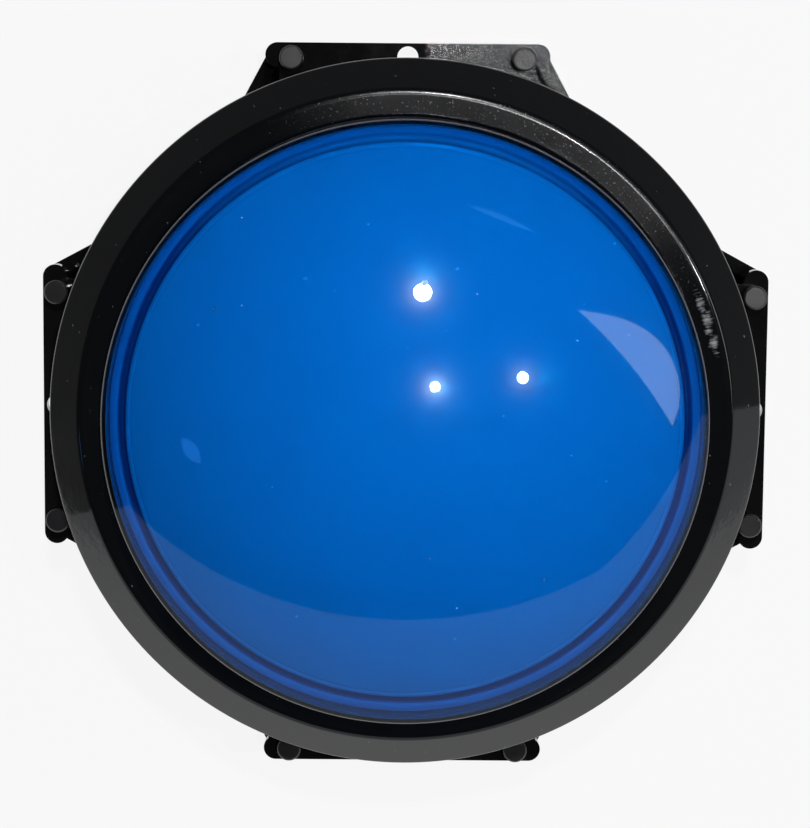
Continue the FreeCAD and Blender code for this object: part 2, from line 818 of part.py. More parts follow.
def make_light_board():
    """Round board with its screws, lamps, resistors and plug socket."""
    holes = [cylinder(screw_hole, s.board_thick, x, y, board_low) for x, y in standoff_spots]
    node("led_board", cut("board", cylinder(board_radius, s.board_thick, z=board_low), holes))
    screws = []
    for x, y in standoff_spots:
        length = s.standoff_height - s.thread_roof + s.board_thick
        shank = cylinder(s.screw_radius, length, x, y, board_top - length)
        head = cylinder(s.screw_head_radius, s.screw_head_height, x, y, board_top)
        screws.append(fuse("screw", [head, shank]))
    node("board_screws", group("board_screw_set", screws))
    spots = [(0, 0)]
    spots += ring_spots(board_radius - s.led_inset, around(OUTER_LEDS))
    spots += ring_spots(s.led_ring_inner, around(INNER_LEDS))
    lamps = [box(s.led_side, s.led_side, s.led_height, x, y, board_top) for x, y in spots]
    node("leds", group("lamps", lamps))
    chips = []
    for x, y in ring_spots(s.resistor_reach, around(RESISTORS, 180.0 / OUTER_LEDS)):
        chips.append(box(s.resistor_length, s.resistor_width, s.resistor_height, x, y, board_top))
    node("led_resistors", group("chips", chips))
    socket_y = board_radius - s.connector_inset
    outer = box(s.connector_length, s.connector_width, s.connector_height, 0, socket_y, board_top)
    well = box(
        s.connector_length - s.connector_wall * 2,
        s.connector_width - s.connector_wall * 2,
        s.connector_height - s.connector_wall,
        0,
        socket_y,
        board_top + s.connector_wall,
    )
    node("led_connector", cut("socket", outer, [well]))


def make_switch():
    """Microswitch case, lever on its pin, small button, terminals and screws."""
    ear_gap = s.lever_width / 2 + s.hinge_ear_gap
    ear_radius = s.lever_pin_radius + s.lever_eye_wall
    case = [box(s.switch_length, s.switch_width, s.switch_height, 0, switch_y, switch_base)]
    for low in (switch_y - ear_gap - s.hinge_ear_thick, switch_y + ear_gap):
        middle = low + s.hinge_ear_thick / 2
        case.append(box(ear_radius * 2, s.hinge_ear_thick, s.hinge_rise, hinge_x, middle, switch_top))
        case.append(cylinder(ear_radius, s.hinge_ear_thick, hinge_x, low, hinge_z, ALONG_Y))
    pin_length = (ear_gap + s.hinge_ear_thick) * 2
    pin_start = switch_y - pin_length / 2
    well_low = switch_top - s.button_depth
    well = cylinder(s.button_radius + s.button_fit, s.button_depth, button_x, switch_y, well_low)
    tools = [well, cylinder(s.lever_pin_radius, pin_length, hinge_x, pin_start, hinge_z, ALONG_Y)]
    screws = []
    face = switch_y + s.switch_width / 2
    length = s.switch_width + s.switch_mount_thick
    for x in (-s.switch_hole_span / 2, s.switch_hole_span / 2):
        tools.append(cylinder(screw_hole, s.switch_width, x, face - s.switch_width, switch_hole_z, ALONG_Y))
        shank = cylinder(s.screw_radius, length, x, face - length, switch_hole_z, ALONG_Y)
        head = cylinder(s.screw_head_radius, s.screw_head_height, x, face, switch_hole_z, ALONG_Y)
        screws.append(fuse("screw", [shank, head]))
    node("switch_case", cut("case", fuse("case_solid", case), tools))
    node("switch_screws", group("switch_screw_set", screws))
    node("lever_pin", cylinder(s.lever_pin_radius, pin_length, hinge_x, pin_start, hinge_z, ALONG_Y))
    button_low = well_low + s.travel / 2
    node("switch_button", cylinder(s.button_radius, button_top - button_low, button_x, switch_y, button_low))
    blades = []
    pitch = s.switch_height / (TERMINALS + 1)
    end_x = -s.switch_length / 2 - s.terminal_length / 2
    for number in range(1, TERMINALS + 1):
        blade_z = switch_base + pitch * number
        blades.append(box(s.terminal_length, s.terminal_width, s.terminal_thick, end_x, switch_y, blade_z))
    node("switch_terminals", group("blades", blades))


def make_switch_lever():
    """Flat blade with a rolled eye, raised by the rest angle about its pin."""
    eye_radius = lever_eye + s.lever_eye_wall
    start = -s.lever_width / 2
    eye = cylinder(eye_radius, s.lever_width, 0, start, 0, ALONG_Y)
    blade = box(s.lever_length, s.lever_width, s.lever_thick, s.lever_length / 2, 0, -s.lever_thick / 2)
    bore = cylinder(lever_eye, s.lever_width, 0, start, 0, ALONG_Y)
    lever = cut("lever", fuse("lever_solid", [eye, blade]), [bore])
    lever.Placement = FreeCAD.Placement(FreeCAD.Vector(), FreeCAD.Rotation(FreeCAD.Vector(0, -1, 0), 1.0))
    bind(lever, "Placement.Rotation.Angle", s.lever_angle)
    place(lever, hinge_x, switch_y, hinge_z)
    node("switch_lever", lever)


def check_and_write():
    """Stop on any failed object or bad shape, then write each sub-part to its own file."""
    doc.recompute()
    for item in doc.Objects:
        if "Invalid" in item.State or "Error" in item.State:
            raise RuntimeError(f"{item.Label} failed: {item.State}")
    for item in subparts:
        if item.Shape.isNull() or not item.Shape.isValid():
            raise RuntimeError(f"{item.Label} has no valid shape")
    os.makedirs("parts", exist_ok=True)
    for item in subparts:
        item.Shape.exportStep(f"parts/{item.Label}.step")
        print(f"{item.Label}: {len(item.Shape.Solids)} solids, {item.Shape.Volume / 1000:.2f} cm3")


make_bezel_ring()
make_flange_housing()
make_rear_cover()
make_cover_frame()
make_cover_mounts()
make_bump_stops()
make_cover_screws()
make_bezel_screws()
make_dome_lens()
make_seal_ring()
make_diffuser()
make_diffuser_screws()
make_plunger_frame()
make_guides()
make_return_springs()
make_light_board()
make_switch()
make_switch_lever()
check_and_write()
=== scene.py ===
import json
import math
import bmesh
import bpy
import numpy as np
from mathutils import Matrix, Vector


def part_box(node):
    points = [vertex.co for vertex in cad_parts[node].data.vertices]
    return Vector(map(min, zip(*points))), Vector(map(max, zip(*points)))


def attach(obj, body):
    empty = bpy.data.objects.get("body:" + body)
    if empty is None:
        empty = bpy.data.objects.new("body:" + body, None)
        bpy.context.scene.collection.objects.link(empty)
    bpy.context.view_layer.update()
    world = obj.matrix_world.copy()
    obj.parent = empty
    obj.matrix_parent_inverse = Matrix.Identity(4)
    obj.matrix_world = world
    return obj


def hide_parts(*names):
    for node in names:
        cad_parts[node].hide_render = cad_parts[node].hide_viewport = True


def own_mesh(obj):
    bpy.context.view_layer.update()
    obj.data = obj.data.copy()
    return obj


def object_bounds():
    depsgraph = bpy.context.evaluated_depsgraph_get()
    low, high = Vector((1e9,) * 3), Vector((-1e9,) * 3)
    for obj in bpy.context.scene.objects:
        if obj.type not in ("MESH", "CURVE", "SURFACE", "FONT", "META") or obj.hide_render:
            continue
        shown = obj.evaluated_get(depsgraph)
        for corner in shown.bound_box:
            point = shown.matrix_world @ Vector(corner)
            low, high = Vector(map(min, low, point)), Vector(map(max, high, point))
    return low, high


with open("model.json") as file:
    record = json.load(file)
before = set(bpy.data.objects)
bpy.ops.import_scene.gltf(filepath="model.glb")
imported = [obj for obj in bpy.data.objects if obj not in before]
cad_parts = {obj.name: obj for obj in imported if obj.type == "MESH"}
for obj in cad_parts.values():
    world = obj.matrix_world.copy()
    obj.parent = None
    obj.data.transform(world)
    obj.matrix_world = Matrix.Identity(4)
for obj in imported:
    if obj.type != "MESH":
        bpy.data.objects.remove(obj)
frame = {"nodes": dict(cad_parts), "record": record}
cad_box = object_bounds()
node_body = {}
for body_name, members in frame["record"]["behaviour"]["bodies"].items():
    node_body.update(dict.fromkeys(members, body_name))
node_slot = {row["node"]: row["material_slot"] for row in frame["record"]["subparts"]}

# Steps round a turned piece
ROUND_STEPS = 240


# Shapes

def arc(centre, radius, first, last, steps):
    """Points of a circle in the half section: centre plus radius times sine and cosine of the lean."""
    angle = np.linspace(first, last, steps)
    return np.stack([centre[0] + radius * np.sin(angle), centre[1] + radius * np.cos(angle)], 1)


def rounded(corners, radii, steps):
    """A closed outline whose corners become arcs: each arc's centre lies on the corner's bisector."""
    corners = np.asarray(corners, float)
    to_last = np.roll(corners, 1, axis=0) - corners
    to_next = np.roll(corners, -1, axis=0) - corners
    to_last /= np.linalg.norm(to_last, axis=1, keepdims=True)
    to_next /= np.linalg.norm(to_next, axis=1, keepdims=True)
    share = np.linspace(0.0, 1.0, steps)[:, None]
    stretches = []
    for corner, back, ahead, radius in zip(corners, to_last, to_next, radii):
        half = 0.5 * np.arccos(np.clip(back @ ahead, -1.0, 1.0))
        turn = np.pi - 2.0 * half
        if radius == 0.0 or turn < 1e-3:
            stretches.append(corner[None])
            continue
        middle = (back + ahead) / np.linalg.norm(back + ahead)
        centre = corner + middle * radius / np.sin(half)
        start = corner + back * radius / np.tan(half) - centre
        end = corner + ahead * radius / np.tan(half) - centre
        spread = np.sin((1.0 - share) * turn) * start + np.sin(share * turn) * end
        stretches.append(centre + spread / np.sin(turn))
    return np.concatenate(stretches)


def grid_faces(rows, columns, close_rows, start=0):
    """Four-sided faces between neighbouring grid points; the columns always close into a ring."""
    row = np.arange(rows if close_rows else rows - 1)[:, None]
    column = np.arange(columns)[None, :]
    here = row * columns
    below = (row + 1) % rows * columns
    beside = (column + 1) % columns
    corners = [here + column, below + column, below + beside, here + beside]
    return (np.stack(corners, -1).reshape(-1, 4) + start).tolist()


def fan_faces(ring_start, columns, pole, outward):
    """Three-sided faces from one ring of grid points to a pole."""
    column = np.arange(columns)
    beside = (column + 1) % columns
    first, second = (column, beside) if outward else (beside, column)
    poles = np.full(columns, pole)
    return np.stack([poles, ring_start + first, ring_start + second], -1).tolist()


def new_piece(name, points, faces):
    """A smooth mesh object at the origin from whole arrays of points and faces."""
    mesh = bpy.data.meshes.new(name)
    mesh.from_pydata(np.asarray(points).reshape(-1, 3).tolist(), [], faces)
    mesh.shade_smooth()
    piece = bpy.data.objects.new(name, mesh)
    bpy.context.scene.collection.objects.link(piece)
    return piece


def turned_grid(profile, steps=ROUND_STEPS):
    """Surface of revolution: radius times (cosine, sine) of the turn angle, at the profile's height."""
    angle = np.linspace(0.0, 2.0 * np.pi, steps, endpoint=False)
    radius, height = profile[:, :1], profile[:, 1:]
    level = height * np.ones(steps)
    return np.stack([radius * np.cos(angle), radius * np.sin(angle), level], -1)


def turned_ring(name, profile):
    """A closed half section, listed clockwise, carried once round the axis."""
    grid = turned_grid(profile)
    return new_piece(name, grid, grid_faces(len(profile), ROUND_STEPS, True))


def turned_shell(name, profile):
    """A half section that starts and ends on the axis, carried once round it and closed at both poles."""
    grid = turned_grid(profile[1:-1])
    rows = len(profile) - 2
    count = rows * ROUND_STEPS
    poles = [[0.0, 0.0, profile[0, 1]], [0.0, 0.0, profile[-1, 1]]]
    faces = grid_faces(rows, ROUND_STEPS, False)
    faces += fan_faces(0, ROUND_STEPS, count, True)
    faces += fan_faces(count - ROUND_STEPS, ROUND_STEPS, count + 1, False)
    return new_piece(name, np.concatenate([grid.reshape(-1, 3), poles]), faces)


def keep_flats(piece):
    """Let large faces set the shading, so that flats stay flat beside their rounded edges."""
    normals = piece.modifiers.new("flats", "WEIGHTED_NORMAL")
    normals.keep_sharp = True


def dress(piece, finish, *nodes):
    """Give a piece its finish and let it stand for plain solids, on their body and with their slot."""
    piece.data.materials.clear()
    piece.data.materials.append(finish)
    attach(piece, node_body[nodes[0]])
    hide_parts(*nodes)


MERGE_DISTANCE = 1e-6
FLAT_ANGLE = math.radians(0.5)
SHARP_ANGLE = math.radians(30.0)
EDGE_SEGMENTS = 3


def softened(node, width):
    """A merged copy of a solid whose sharp edges are rounded to the given width."""
    mesh = frame["nodes"][node].data.copy()
    mesh.materials.clear()
    shape = bmesh.new()
    shape.from_mesh(mesh)
    bmesh.ops.remove_doubles(shape, verts=shape.verts, dist=MERGE_DISTANCE)
    bmesh.ops.dissolve_limit(shape, angle_limit=FLAT_ANGLE, verts=shape.verts, edges=shape.edges)
    plain = bpy.data.meshes.new(f"{node}_soft")
    shape.to_mesh(plain)
    shape.free()
    bpy.data.meshes.remove(mesh)
    plain.shade_smooth()
    piece = bpy.data.objects.new(f"{node}_soft", plain)
    bpy.context.scene.collection.objects.link(piece)
    bevel = piece.modifiers.new("edges", "BEVEL")
    bevel.width = width
    bevel.segments = EDGE_SEGMENTS
    bevel.limit_method = "ANGLE"
    bevel.angle_limit = SHARP_ANGLE
    bevel.use_clamp_overlap = True
    keep_flats(piece)
    return piece


# Finishes

def opaque(value):
    """A plain colour with full opacity; the output of a node as it is."""
    return (*value, 1.0) if isinstance(value, tuple) else value


class Finish:
    """One procedural material on Object coordinates, with short calls for its nodes."""

    def __init__(self, name, **sockets):
        self.material = bpy.data.materials.new(name)
        self.material.use_nodes = True
        self.tree = self.material.node_tree
        self.shader = self.tree.nodes["Principled BSDF"]
        self.place = self.node("ShaderNodeTexCoord").outputs["Object"]
        for socket, value in sockets.items():
            self.shader.inputs[socket.replace("_", " ")].default_value = value

    def node(self, kind, **settings):
        """Add one node with its settings."""
        made = self.tree.nodes.new(kind)
        for key, value in settings.items():
            setattr(made, key, value)
        return made

    def feed(self, socket, value):
        """Link an output into a socket, or set a plain value on it."""
        if isinstance(value, bpy.types.NodeSocket):
            self.tree.links.new(value, socket)
        else:
            socket.default_value = value

    def math(self, operation, first, second=0.0, third=0.0):
        """One step of arithmetic on up to three values."""
        made = self.node("ShaderNodeMath", operation=operation)
        for socket, value in zip(made.inputs, (first, second, third)):
            self.feed(socket, value)
        return made.outputs[0]

    def noise(self, scale, detail=3.0, rough=0.55, place=None):
        """Random grain from 0 to 1, with scale grains to the metre."""
        made = self.node("ShaderNodeTexNoise")
        self.feed(made.inputs["Vector"], place or self.place)
        made.inputs["Scale"].default_value = scale
        made.inputs["Detail"].default_value = detail
        made.inputs["Roughness"].default_value = rough
        return made.outputs["Fac"]

    def ramp(self, value, low, high, to_low=0.0, to_high=1.0):
        """Stretch a value from one range to another, held at both ends."""
        made = self.node("ShaderNodeMapRange")
        for socket, number in zip(made.inputs, (value, low, high, to_low, to_high)):
            self.feed(socket, number)
        return made.outputs[0]

    def window(self, value, centre, half, soft):
        """1 within half of the centre, fading to 0 over the soft width."""
        away = self.math("ABSOLUTE", self.math("SUBTRACT", value, centre))
        return self.ramp(away, half, half + soft, 1.0, 0.0)

    def polar(self):
        """Turn angle round Z, distance from Z, and height."""
        split = self.node("ShaderNodeSeparateXYZ")
        self.feed(split.inputs[0], self.place)
        angle = self.math("ARCTAN2", split.outputs["Y"], split.outputs["X"])
        square = self.math("MULTIPLY_ADD", split.outputs["X"], split.outputs["X"],
                           self.math("MULTIPLY", split.outputs["Y"], split.outputs["Y"]))
        return angle, self.math("SQRT", square), split.outputs["Z"]

    def polar_noise(self, angle, radius, round_scale, outward_scale, detail, rough):
        """Grain drawn out round Z or away from it: so many to the radian and so many to the metre."""
        place = self.node("ShaderNodeCombineXYZ")
        self.feed(place.inputs["X"], self.math("MULTIPLY", angle, round_scale))
        self.feed(place.inputs["Y"], self.math("MULTIPLY", radius, outward_scale))
        return self.noise(1.0, detail, rough, place.outputs[0])

    def blend(self, share, first, second):
        """Mix two colours by a share."""
        made = self.node("ShaderNodeMix", data_type="RGBA")
        self.feed(made.inputs["Factor"], share)
        self.feed(made.inputs["A"], opaque(first))
        self.feed(made.inputs["B"], opaque(second))
        return made.outputs["Result"]

    def mix(self, share, first, second):
        """Mix two shaders by a share."""
        made = self.node("ShaderNodeMixShader")
        for socket, value in zip(made.inputs, (share, first, second)):
            self.feed(socket, value)
        return made.outputs["Shader"]

    def colour(self, value):
        """Base colour, plain or from nodes."""
        self.feed(self.shader.inputs["Base Color"], opaque(value))

    def rough(self, value):
        """Roughness from nodes."""
        self.feed(self.shader.inputs["Roughness"], value)

    def bump(self, height, strength, depth):
        """Fine relief of a real depth in metres."""
        made = self.node("ShaderNodeBump")
        self.feed(made.inputs["Height"], height)
        made.inputs["Strength"].default_value = strength
        made.inputs["Distance"].default_value = depth
        self.feed(self.shader.inputs["Normal"], made.outputs["Normal"])

    def surface(self, shader):
        """Show another shader in place of the plain one."""
        self.feed(self.tree.nodes["Material Output"].inputs["Surface"], shader)


# Places of marks, painted glints and painted shade: centre, half width and soft edge, as turns in radians and
# distances from the axis in metres
BEZEL_INNER_SLOPE = (0.0878, 0.0030, 0.0006)
RUB_TURN = (0.32, 0.08, 0.09)
RUB_BAND = (0.0882, 0.0004, 0.0034)
# Top stretch where grit specks are painted light grey as glints of the lamps
SPECKLE_GLINT_TURN = (1.20, 0.45, 0.40)
WORKED_TURN = (1.12, 0.28, 0.15)
# Top stretch where the trough catches light, so that it gets less painted shade
TOP_LIT_TURN = (1.5, 0.35, 0.7)
BEAD_BAND = (0.0764, 0.0005, 0.0002)
SHADE_BAND = (0.0780, 0.0010, 0.0004)

BEZEL_TONE = (0.0055, 0.006, 0.007)
MARK_AND_GLINT_TONE = (0.42, 0.42, 0.43)
SPECKLE_GLINT_STRENGTH = 0.55
DUST_STRENGTH = 0.3
SPECKLE_DULLNESS = 0.16
MARK_DULLNESS = 0.45
MARK_SINK = -0.6


def bezel_finish():
    """Polished black moulding: rub marks on its inner slope at the right, grit specks at its top painted
    light grey as glints of the lamps, and dust.
    """
    finish = Finish("bezel_black", IOR=1.55, Coat_Weight=0.15)
    angle, radius, _ = finish.polar()
    streaks = finish.polar_noise(angle, radius, round_scale=230.0, outward_scale=300.0, detail=5.0, rough=0.7)
    patches = finish.polar_noise(angle, radius, round_scale=38.0, outward_scale=330.0, detail=2.0, rough=0.5)
    right = finish.math("MULTIPLY", finish.window(angle, *RUB_TURN), finish.window(radius, *RUB_BAND))
    right = finish.math("MULTIPLY", right,
                        finish.ramp(patches, low=0.35, high=0.65, to_low=0.7, to_high=1.15))
    rubbed = finish.ramp(finish.math("MULTIPLY", streaks, right), low=0.36, high=0.70)
    inner = finish.window(radius, *BEZEL_INNER_SLOPE)
    # Grit specks on the top stretch of the inner slope: real grit, painted light grey as glints of the lamps
    top = finish.math("MULTIPLY", finish.window(angle, *SPECKLE_GLINT_TURN), inner)
    glinting_grit = finish.ramp(finish.noise(scale=1900.0, detail=2.0), low=0.66, high=0.72)
    speckle_glints = finish.math("MULTIPLY", glinting_grit, top)
    dust = finish.ramp(finish.noise(scale=700.0, detail=1.0), low=0.775, high=0.80)
    marks_and_glints = finish.math("MAXIMUM", rubbed, finish.math("MULTIPLY", speckle_glints, SPECKLE_GLINT_STRENGTH))
    marks_and_glints = finish.math("MAXIMUM", marks_and_glints, finish.math("MULTIPLY", dust, DUST_STRENGTH))
    finish.colour(finish.blend(marks_and_glints, BEZEL_TONE, MARK_AND_GLINT_TONE))
    polish = finish.noise(scale=60.0, detail=4.0)
    polish = finish.ramp(polish, low=0.35, high=0.7, to_low=0.05, to_high=0.09)
    worn = finish.math("MULTIPLY_ADD", top, SPECKLE_DULLNESS, polish)
    finish.rough(finish.math("MULTIPLY_ADD", marks_and_glints, MARK_DULLNESS, worn))
    relief = finish.math("MULTIPLY_ADD", marks_and_glints, MARK_SINK, finish.noise(scale=380.0, detail=2.0))
    finish.bump(relief, strength=0.06, depth=0.0002)
    return finish.material


HOUSING_DARK = (0.0055, 0.0055, 0.006)
HOUSING_LIGHT = (0.010, 0.010, 0.0105)
# Lighter grey of the peg tops: a painted sheen on top of their real dullness
PEG_TOP_SHEEN = (0.020, 0.020, 0.022)
PEG_TOP = 0.006
PEG_FADE_FOOT = 0.0008
PEG_FADE_HEAD = 0.0004
PEG_DULLNESS = 0.16


def housing_finish():
    """Black moulding, polished but for a worked stretch at the upper right and dull peg tops, which are
    painted lighter grey as a painted sheen.
    """
    finish = Finish("housing_black", IOR=1.5)
    angle, _, height = finish.polar()
    tops = finish.ramp(height, PEG_TOP - PEG_FADE_FOOT, PEG_TOP - PEG_FADE_HEAD)
    clouds = finish.ramp(finish.noise(scale=45.0), low=0.4, high=0.75)
    # Peg tops painted lighter grey: painted sheen
    finish.colour(finish.blend(tops, finish.blend(clouds, HOUSING_DARK, HOUSING_LIGHT), PEG_TOP_SHEEN))
    polish = finish.ramp(finish.noise(scale=240.0), low=0.3, high=0.7, to_low=0.04, to_high=0.08)
    finish.rough(finish.math("MULTIPLY_ADD", tops, PEG_DULLNESS, polish))
    grain = finish.noise(scale=1300.0, rough=0.6)
    worked = finish.window(angle, *WORKED_TURN)
    worked = finish.ramp(worked, low=0.0, high=1.0, to_low=0.05, to_high=2.0)
    finish.bump(finish.math("MULTIPLY", grain, worked), strength=0.5, depth=0.00016)
    return finish.material


LENS_TINT = (0.0, 0.296, 0.602)
LENS_SKIRT_TINT = (0.0, 0.012, 0.07)
LENS_SKIRT_FADE = (0.0816, 0.0821)
SPECK_TONE = (0.55, 0.65, 0.8)
SPECK_STRENGTH = 0.6
SPECK_DULLNESS = 0.4


def lens_finish():
    """Clear blue dome: refracting body, deeper skirt, tinted light for shadows, hairlines and specks."""
    finish = Finish("lens_blue", IOR=1.49, Transmission_Weight=1.0, Coat_Weight=0.12, Coat_Roughness=0.16)
    angle, radius, _ = finish.polar()
    specks = finish.ramp(finish.noise(scale=331.0, detail=1.0), low=0.79, high=0.81)
    tint = finish.blend(finish.ramp(radius, *LENS_SKIRT_FADE), LENS_TINT, LENS_SKIRT_TINT)
    finish.colour(finish.blend(finish.math("MULTIPLY", specks, SPECK_STRENGTH), tint, SPECK_TONE))
    hairs = finish.polar_noise(angle, radius, round_scale=9.0, outward_scale=2600.0, detail=2.0, rough=0.5)
    polish = finish.ramp(hairs, low=0.55, high=0.75, to_low=0.012, to_high=0.05)
    finish.rough(finish.math("MULTIPLY_ADD", specks, SPECK_DULLNESS, polish))
    finish.bump(finish.noise(scale=14.0, detail=2.0), strength=0.02, depth=0.0004)
    through = finish.node("ShaderNodeBsdfTransparent")
    through.inputs["Color"].default_value = (*(math.sqrt(part) for part in LENS_TINT), 1.0)
    shadow = finish.node("ShaderNodeLightPath").outputs["Is Shadow Ray"]
    finish.surface(finish.mix(shadow, finish.shader.outputs["BSDF"], through.outputs["BSDF"]))
    return finish.material


DIFFUSER_DARK = (0.80, 0.84, 0.88)
DIFFUSER_LIGHT = (0.88, 0.91, 0.93)
# Painted shade on the ledge: its dark blue tone, the radii where it starts and its share
LEDGE_SHADE_TONE = (0.10, 0.14, 0.40)
LEDGE_SHADE_FADE = (0.0784, 0.0788)
LEDGE_SHADE_STRENGTH = 0.52
# Painted shade in the trough and on the bead, with less of it at the lit top
SHADE_TONE = (0.10, 0.14, 0.30)
BEAD_SHADE = 0.34
BEAD_POLISH = -0.36
TOP_LIT_SHADE = 0.3


def diffuser_finish():
    """Milky white moulding, matt, with a polished bead, painted shade on the bead and in the trough that is
    lighter at the top where light falls, and painted shade in blue on the ledge.
    """
    finish = Finish("diffuser_white", IOR=1.49)
    angle, radius, _ = finish.polar()
    white = finish.blend(finish.noise(scale=18.0), DIFFUSER_DARK, DIFFUSER_LIGHT)
    bead = finish.window(radius, *BEAD_BAND)
    shade = finish.math("MULTIPLY_ADD", bead, BEAD_SHADE, finish.window(radius, *SHADE_BAND))
    # Painted shade on the bead and in the trough, less of it at the top where the light falls
    top_lit = finish.window(angle, *TOP_LIT_TURN)
    top_lit = finish.ramp(top_lit, low=0.0, high=1.0, to_low=1.0, to_high=TOP_LIT_SHADE)
    # Painted shade: the ledge outside the trough darkened towards blue
    ledge = finish.ramp(radius, *LEDGE_SHADE_FADE, to_low=0.0, to_high=LEDGE_SHADE_STRENGTH)
    outer = finish.blend(ledge, white, LEDGE_SHADE_TONE)
    finish.colour(finish.blend(finish.math("MULTIPLY", shade, top_lit), outer, SHADE_TONE))
    matt = finish.ramp(finish.noise(scale=120.0), low=0.3, high=0.7, to_low=0.42, to_high=0.55)
    finish.rough(finish.math("MULTIPLY_ADD", bead, BEAD_POLISH, matt))
    finish.bump(finish.noise(scale=900.0, detail=2.0), strength=0.08, depth=0.0001)
    return finish.material


def moulding_finish(name, dark, light, rough_low, rough_high, grain=1100.0):
    """Plain moulded plastic or rubber: two close tones, uneven gloss and a fine grain."""
    finish = Finish(name, IOR=1.5)
    finish.colour(finish.blend(finish.noise(scale=150.0), dark, light))
    gloss = finish.noise(scale=420.0)
    finish.rough(finish.ramp(gloss, low=0.3, high=0.7, to_low=rough_low, to_high=rough_high))
    finish.bump(finish.noise(grain), strength=0.25, depth=0.00008)
    return finish.material


def metal_finish(name, dark, light, rough_low, rough_high, grain=1300.0):
    """Bare or plated metal: two tones, dull patches and fine drawn or tumbled grain."""
    finish = Finish(name, Metallic=1.0)
    patches = finish.ramp(finish.noise(scale=260.0, detail=4.0), low=0.35, high=0.7)
    finish.colour(finish.blend(patches, dark, light))
    gloss = finish.noise(scale=500.0, detail=4.0)
    finish.rough(finish.ramp(gloss, low=0.3, high=0.7, to_low=rough_low, to_high=rough_high))
    finish.bump(finish.noise(grain, detail=2.0), strength=0.15, depth=0.00005)
    return finish.material


# Each row: dark tone, light tone, least and greatest roughness, and the grain where it isn't the usual one
MOULDINGS = {
    "frame_white": ((0.62, 0.61, 0.57), (0.72, 0.71, 0.67), 0.40, 0.55),
    "stop_rubber": ((0.018, 0.018, 0.018), (0.03, 0.03, 0.031), 0.65, 0.85, 800.0),
    "board_white": ((0.74, 0.75, 0.75), (0.81, 0.82, 0.82), 0.30, 0.42, 600.0),
    "lamp_white": ((0.80, 0.78, 0.60), (0.86, 0.85, 0.74), 0.25, 0.40),
    "chip_black": ((0.015, 0.015, 0.016), (0.03, 0.03, 0.03), 0.45, 0.6, 2500.0),
    "connector_white": ((0.68, 0.66, 0.60), (0.76, 0.74, 0.69), 0.40, 0.55),
    "switch_black": ((0.012, 0.012, 0.013), (0.025, 0.025, 0.026), 0.40, 0.55),
    "button_red": ((0.42, 0.02, 0.015), (0.55, 0.035, 0.025), 0.35, 0.5),
}
METALS = {
    "steel": ((0.50, 0.50, 0.51), (0.66, 0.66, 0.68), 0.22, 0.38),
    "spring_steel": ((0.32, 0.32, 0.34), (0.46, 0.46, 0.48), 0.25, 0.40),
    "bush_bronze": ((0.45, 0.30, 0.15), (0.60, 0.42, 0.22), 0.38, 0.55, 1800.0),
    "terminal_brass": ((0.62, 0.46, 0.20), (0.78, 0.62, 0.32), 0.22, 0.36),
}
FINISHES = {
    "bezel_black": bezel_finish(),
    "housing_black": housing_finish(),
    "lens_blue": lens_finish(),
    "diffuser_white": diffuser_finish(),
}
for slot, row in MOULDINGS.items():
    FINISHES[slot] = moulding_finish(slot, *row)
for slot, row in METALS.items():
    FINISHES[slot] = metal_finish(slot, *row)


# Bezel, lens and diffuser

BEZEL_SLOPE_RUN = 0.0092
BEZEL_SLOPE_RADIUS = 8.0
BEZEL_SLOPE_ANGLE = math.radians(40.32)
BEZEL_SLOPE_MARGIN = 0.12
BEZEL_SLOPE_STEPS = 12
BEZEL_LIP_RUN = 0.0069
BEZEL_LIP_DROP = 0.0006
BEZEL_LIP_THICK = 0.0037
BEZEL_EDGE = 0.00253
BEZEL_RIDGE_ROUND = 0.0028
BEZEL_RIM_ROUND = 0.0009
BEZEL_UNDER_ROUND = 0.0006
BARREL_FOOT_ROUND = 0.0005
BEZEL_INNER_ROUND = 0.0004
BEZEL_ROUND_STEPS = 7
PANEL_OVERLAP = 0.008
BARREL_WALL = 0.0033
SEAT_RING_WIDTH = 0.0097


